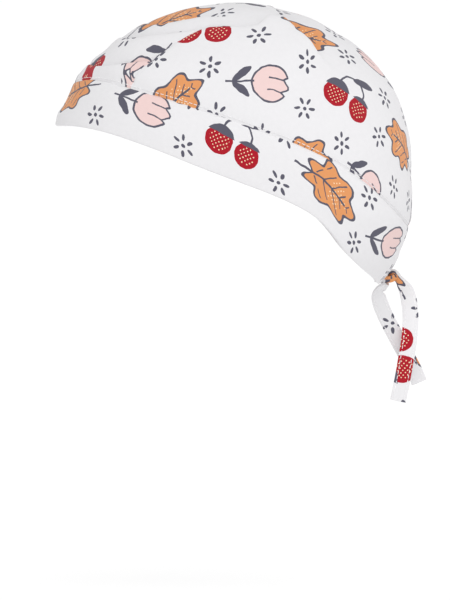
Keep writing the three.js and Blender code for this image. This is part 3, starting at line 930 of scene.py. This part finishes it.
def printed_layers(tree, u, v, settings):
    """The print's masks from the lowest ink up, each with its ink."""
    across, up = settings.repeat_across / MM, settings.repeat_up / MM
    row = (v / up).floor()
    odd = row % 2
    brick = odd * 0.5 + u / across
    cell = brick.floor()
    is_leaf, is_bud, is_hip = (((cell + odd) % 3).is_near(number, 0.5) for number in range(3))
    motif_number = node(tree, "CombineXYZ", [cell, row, 0.5])
    chance = node(tree, "TexWhiteNoise", {"Vector": motif_number}).node.outputs
    heads = Field(node(tree, "SeparateColor", [chance["Color"]], output="Green")) > 0.5
    tilt = (Field(chance["Value"]) - 0.5) * TILT_RANGE
    x_faced = (brick.share() - 0.5) * across * (heads * 2 - 1)
    upright = node(tree, "CombineXYZ", [x_faced, ((v / up).share() - 0.5) * up, 0])
    tilted = node(tree, "VectorRotate", {"Vector": upright, "Angle": tilt}, rotation_type="Z_AXIS")
    x, y = (Field(part) for part in node(tree, "SeparateXYZ", [tilted]).node.outputs[:2])
    leaf_off, leaf_lines = leaf_motif(x, y)
    bud_off, bud_lines = bud_motif(x, y)
    hip_off, hip_lines = hip_motif(x, y)
    flecked = ((hip_off < -2) & is_hip) | ((leaf_off < -4.5) & (x > 3) & is_leaf)
    flecks = flecked & ((x * FLECK_TURN).sine() * (y * FLECK_TURN).sine() > FLECK_EDGE)
    return (
        (seed_bursts(u, v, across, up), settings.line_colour),
        ((leaf_off < 0) & is_leaf, settings.leaf_colour),
        ((bud_off < 0) & is_bud, settings.bud_colour),
        ((hip_off < 0) & is_hip, settings.hip_colour),
        (flecks, settings.fleck_colour),
        (leaf_lines & is_leaf, settings.line_colour),
        (bud_lines & is_bud, settings.line_colour),
        (hip_lines & is_hip, settings.line_colour),
    )


def new_material(name):
    """A material without nodes, and its tree."""
    material = bpy.data.materials.new(name)
    material.use_nodes = True
    material.node_tree.nodes.clear()
    return material, material.node_tree


def mix(tree, share, first, second, **settings):
    """Mixes a second colour into a first."""
    return node(tree, "Mix", {0: share, 6: first, 7: second}, output=2, data_type="RGBA", **settings)


def toned(tree, colour, texture, darkest):
    """A colour that a texture darkens a little."""
    tone = node(tree, "MapRange", {"Value": texture, "To Min": darkest, "To Max": 1.0})
    return mix(tree, 1.0, colour, tone, blend_type="MULTIPLY")


def cotton_poplin(name, settings, show):
    """Printed cotton poplin: a matt, faintly sheened plain weave with flat ink, small creases and fine slubs.

    show is how strongly the print is seen: fully on the right side, and as a pale ghost on the wrong side.
    """
    material, tree = new_material(name)
    flat = node(tree, "UVMap", uv_map=FLAT_MAP)
    place = node(tree, "VectorMath", {"Vector": flat, "Scale": UV_UNIT}, operation="SCALE")
    wobble = node(tree, "TexNoise", {"Vector": place, "Scale": 0.17, "Detail": 1.5}, output="Color")
    centred = node(tree, "VectorMath", [wobble, (0.5, 0.5, 0.5)], operation="SUBTRACT")
    shaken = node(tree, "VectorMath", [centred, WANDER, place], operation="MULTIPLY_ADD")
    u, v = (Field(part) for part in node(tree, "SeparateXYZ", [shaken]).node.outputs[:2])
    bleached = (*settings.cloth_colour, 1)
    colour = bleached
    for mask, ink in printed_layers(tree, u, v, settings):
        colour = mix(tree, mask, colour, (*ink, 1))
    slub = node(tree, "TexNoise", {"Vector": place, "Scale": 0.35, "Detail": 4.0})
    shown = mix(tree, show, bleached, toned(tree, colour, slub, 0.94))
    # The weave's real 0.3 mm spacing is finer than a pixel, so it is drawn coarser to show.
    thread_turn = 2 * math.pi / (settings.thread_spacing / MM)
    weave = (u * thread_turn).sine() * (v * thread_turn).sine()
    creases = node(tree, "TexNoise", {"Vector": place, "Scale": 0.11, "Detail": 3.0})
    height = weave * WEAVE_HEIGHT + Field(creases)
    relief = node(tree, "Bump", {"Strength": 0.35, "Distance": 0.0008, "Height": height})
    cloth = node(tree, "BsdfPrincipled", {
        "Base Color": shown, "Roughness": 0.86, "Specular IOR Level": 0.25, "Sheen Weight": 0.12,
        "Sheen Roughness": 0.6, "Normal": relief,
    })
    node(tree, "OutputMaterial", {"Surface": cloth})
    return material


def sewing_thread(settings):
    """Spun polyester sewing thread: bright, slightly glossier than the cloth, with the twist of its plies."""
    material, tree = new_material(THREAD)
    place = node(tree, "TexCoord", output="Object")
    twist = node(tree, "TexNoise", {"Vector": place, "Scale": 2500.0, "Detail": 2.0})
    tint = toned(tree, (*settings.thread_colour, 1), twist, 0.86)
    relief = node(tree, "Bump", {"Strength": 0.4, "Distance": 0.0001, "Height": twist})
    thread = node(tree, "BsdfPrincipled", {"Base Color": tint, "Roughness": 0.6, "Normal": relief})
    node(tree, "OutputMaterial", {"Surface": thread})
    return material


def studio_paper(settings):
    """Matt studio paper lit from below: an even white that takes little shadow, with faint pulp."""
    material, tree = new_material("matt_studio_paper")
    place = node(tree, "TexCoord", output="Object")
    pulp = node(tree, "TexNoise", {"Vector": place, "Scale": 3.0, "Detail": 2.0})
    paper = node(tree, "BsdfPrincipled", {
        "Base Color": toned(tree, (*settings.floor_colour, 1), pulp, 0.99), "Roughness": 0.95,
        "Specular IOR Level": 0.1, "Emission Color": (1, 1, 1, 1), "Emission Strength": settings.floor_glow,
    })
    node(tree, "OutputMaterial", {"Surface": paper})
    return material


def number_property(name, description, default, **kind):
    """A number that a user may change."""
    return bpy.props.FloatProperty(name=name, description=description, default=default, **kind)


def length_property(name, description, default):
    """A length that a user may change, in metres."""
    return number_property(
        name, description, default, min=0.0, precision=5, unit="LENGTH", subtype="DISTANCE"
    )


def colour_property(name, description, hex_colour):
    """A colour that a user may change."""
    return bpy.props.FloatVectorProperty(
        name=name, description=description, default=linear(hex_colour), min=0.0, max=1.0, subtype="COLOR"
    )


class CapClothSettings(bpy.types.PropertyGroup):
    """Sizes of the cloth and of its folds."""

    ply: length_property("Ply", "Thickness of one layer of cloth", 0.0004)
    wrinkle_depth: length_property("Wrinkles", "Depth of the soft wrinkles", 0.0009)
    pucker_depth: length_property("Puckers", "Depth of the puckers along the seam", 0.0003)
    fold_depth: number_property("Folds", "Scale of the draped folds' depth", 1.0)


class CapPrintSettings(bpy.types.PropertyGroup):
    """Repeat and inks of the printed cotton."""

    repeat_across: length_property("Repeat across", "Width of one cell of the repeat", 0.056)
    repeat_up: length_property("Repeat up", "Height of one cell of the repeat", 0.042)
    thread_spacing: length_property("Thread spacing", "Spacing at which the weave is drawn", 0.0009)
    cloth_colour: colour_property("Cloth", "Bleached cotton", "#E5E4E6")
    leaf_colour: colour_property("Leaf", "Orange ink of the leaves", "#DE965F")
    bud_colour: colour_property("Bud", "Pink ink of the buds", "#E9CDCA")
    hip_colour: colour_property("Hip", "Red ink of the hips", "#A8041E")
    fleck_colour: colour_property("Fleck", "Cream of the flecks", "#F6DDB8")
    line_colour: colour_property("Line", "Slate ink of outlines and seeds", "#575664")


class CapStitchSettings(bpy.types.PropertyGroup):
    """Sizes and colour of the topstitching."""

    stitch_length: length_property("Stitch", "Length of one stitch", 0.0022)
    stitch_gap: length_property("Gap", "Gap between stitches", 0.0007)
    stitch_inset: length_property("Inset", "Distance of the stitches from an edge", 0.0014)
    thread: length_property("Thread", "Thickness of the thread", 0.0004)
    thread_colour: colour_property("Thread", "White sewing thread", "#F7F6F8")


class CapStudioSettings(bpy.types.PropertyGroup):
    """Camera, floor and light."""

    camera_distance: length_property("Distance", "Distance of the camera from the cap's middle plane", 3.0)
    floor_height: number_property("Floor", "Height of the floor", -0.24, unit="LENGTH")
    floor_colour: colour_property("Paper", "What the paper throws back of the light from above", "#808080")
    floor_glow: number_property("Glow", "Light through the paper from below", 0.82)
    sky_strength: number_property("Sky", "Strength of the even light, level with the cap", 1.03)
    key_strength: number_property("Key", "Strength of the main soft light", 1.42)


class CAP_OT_studio(bpy.types.Operator):
    """Places the camera, the floor and the light"""

    bl_idname = "cap.studio"
    bl_label = "Set up the studio"

    def execute(self, context):
        """Builds the stage."""
        settings = context.scene.cap_studio
        camera = bpy.data.objects.new("camera", bpy.data.cameras.new("camera"))
        context.scene.collection.objects.link(camera)
        camera.location = (settings.camera_distance, PICTURE_CENTRE[1], CAMERA_HEIGHT)
        gaze = Vector(PICTURE_CENTRE) - camera.location
        camera.rotation_euler = gaze.to_track_quat("-Z", "Y").to_euler()
        camera.data.sensor_width = SENSOR
        camera.data.lens = SENSOR * gaze.length / PICTURE_HEIGHT
        camera.data.clip_end = CLIP_END
        context.scene.camera = camera
        bpy.ops.mesh.primitive_plane_add(size=2 * FLOOR_HALF)
        floor = context.active_object
        floor.name = "floor"
        for corner in floor.data.vertices:
            corner.co.z += settings.floor_height
        floor.data.materials.append(studio_paper(settings))
        world = bpy.data.worlds.new("studio")
        context.scene.world = world
        world.use_nodes = True
        tree = world.node_tree
        tree.nodes.clear()
        way = node(tree, "SeparateXYZ", [node(tree, "TexCoord", output="Generated")], output="Z")
        strengths = {"To Min": settings.sky_strength, "To Max": ZENITH_STRENGTH}
        glow = node(tree, "MapRange", {"Value": way, **strengths})
        sky = node(tree, "Background", {"Color": (1, 1, 1, 1), "Strength": glow})
        node(tree, "OutputWorld", {"Surface": sky})
        key = bpy.data.objects.new("key", bpy.data.lights.new("key", "SUN"))
        context.scene.collection.objects.link(key)
        key.rotation_euler = (-Vector(KEY_FROM)).to_track_quat("-Z", "Y").to_euler()
        key.data.energy = settings.key_strength
        key.data.angle = math.radians(KEY_SPREAD)
        context.scene.view_settings.view_transform = "Standard"
        return {"FINISHED"}


class CAP_OT_ties(bpy.types.Operator):
    """Makes the two ties of folded cotton, hooked in a half knot, with their topstitching"""

    bl_idname = "cap.ties"
    bl_label = "Make the ties"

    def execute(self, context):
        """Builds both ties and their stitches."""
        stitch = context.scene.cap_stitch
        cotton = cotton_poplin(COTTON, context.scene.cap_print, 1.0)
        thread = sewing_thread(stitch)
        for name, (route, side) in TIES.items():
            stitches = make_stitches(name + "_stitches", tie_stitch_rows(route, stitch), stitch, thread)
            make_tie(name, route, side, cotton)
        return {"FINISHED"}


class CAP_OT_crown(bpy.types.Operator):
    """Makes the crown of draped cotton, with the topstitching along its seam"""

    bl_idname = "cap.crown"
    bl_label = "Make the crown"

    def execute(self, context):
        """Builds the crown and its stitches."""
        cloth, stitch = context.scene.cap_cloth, context.scene.cap_stitch
        wrong_side = cotton_poplin(COTTON + "_wrong_side", context.scene.cap_print, WRONG_SIDE_SHARE)
        thread = bpy.data.materials[THREAD]
        stitches = make_stitches("seam_stitches", seam_stitch_rows(stitch, cloth), stitch, thread)
        make_crown(cloth, [bpy.data.materials[COTTON], wrong_side])
        return {"FINISHED"}


class CAP_OT_band(bpy.types.Operator):
    """Makes the band, folded double along its rim"""

    bl_idname = "cap.band"
    bl_label = "Make the band"

    def execute(self, context):
        """Builds the band."""
        make_band(context.scene.cap_cloth, [bpy.data.materials[COTTON]])
        return {"FINISHED"}


class CAP_PT_panel(bpy.types.Panel):
    """Lists the pieces of the cap and their settings"""

    bl_idname = "CAP_PT_panel"
    bl_label = "Bandana cap"
    bl_space_type = "VIEW_3D"
    bl_region_type = "UI"
    bl_category = "Bandana cap"

    def draw(self, context):
        """Shows a button for each operator, and the settings."""
        for operator in OPERATORS:
            self.layout.operator(operator.bl_idname)
        for name, group in SETTINGS.items():
            box = self.layout.box()
            box.label(text=group.__doc__)
            for setting in group.__annotations__:
                box.prop(getattr(context.scene, name), setting)


SETTINGS = {
    "cap_cloth": CapClothSettings, "cap_print": CapPrintSettings, "cap_stitch": CapStitchSettings,
    "cap_studio": CapStudioSettings,
}
OPERATORS = (CAP_OT_studio, CAP_OT_ties, CAP_OT_crown, CAP_OT_band)


def register():
    """Registers the settings, operators and panel."""
    for name, group in SETTINGS.items():
        bpy.utils.register_class(group)
        setattr(bpy.types.Scene, name, bpy.props.PointerProperty(type=group))
    for made in (*OPERATORS, CAP_PT_panel):
        bpy.utils.register_class(made)


def unregister():
    """Removes what register added."""
    for made in (CAP_PT_panel, *reversed(OPERATORS)):
        bpy.utils.unregister_class(made)
    for name, group in SETTINGS.items():
        delattr(bpy.types.Scene, name)
        bpy.utils.unregister_class(group)


def main():
    """Builds the cap in order."""
    register()
    for operator in OPERATORS:
        group, name = operator.bl_idname.split(".")
        getattr(getattr(bpy.ops, group), name)()


if __name__ == "__main__":
    main()
